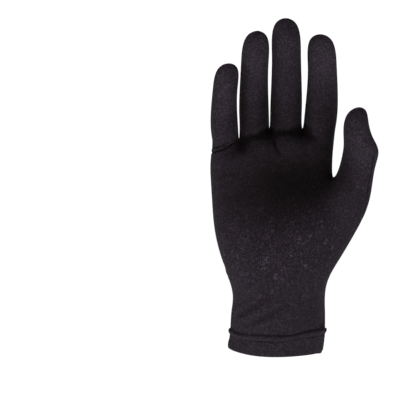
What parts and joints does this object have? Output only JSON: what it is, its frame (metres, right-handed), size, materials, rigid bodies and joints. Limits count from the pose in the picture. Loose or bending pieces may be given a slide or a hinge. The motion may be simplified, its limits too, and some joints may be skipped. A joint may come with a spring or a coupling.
{
  "type": "glove liner",
  "caption": "Thin stretch-knit glove liner for the right hand, in its worn shape, with a palm panel, a back panel and a folded cuff hem.",
  "frame": {"origin": "centre of the cuff's opening, where a hand goes in", "axes": "+Z from the cuff to the fingertips, -Y the way that the palm faces, +X the thumb's side"},
  "size_m": [0.1166, 0.049, 0.2331],
  "materials": {
    "knit": "matte",
    "hem": "matte"
  },
  "bodies": {
    "root": {"palm_panel": "knit", "back_panel": "knit", "cuff_hem": "hem"}
  },
  "joints": []
}
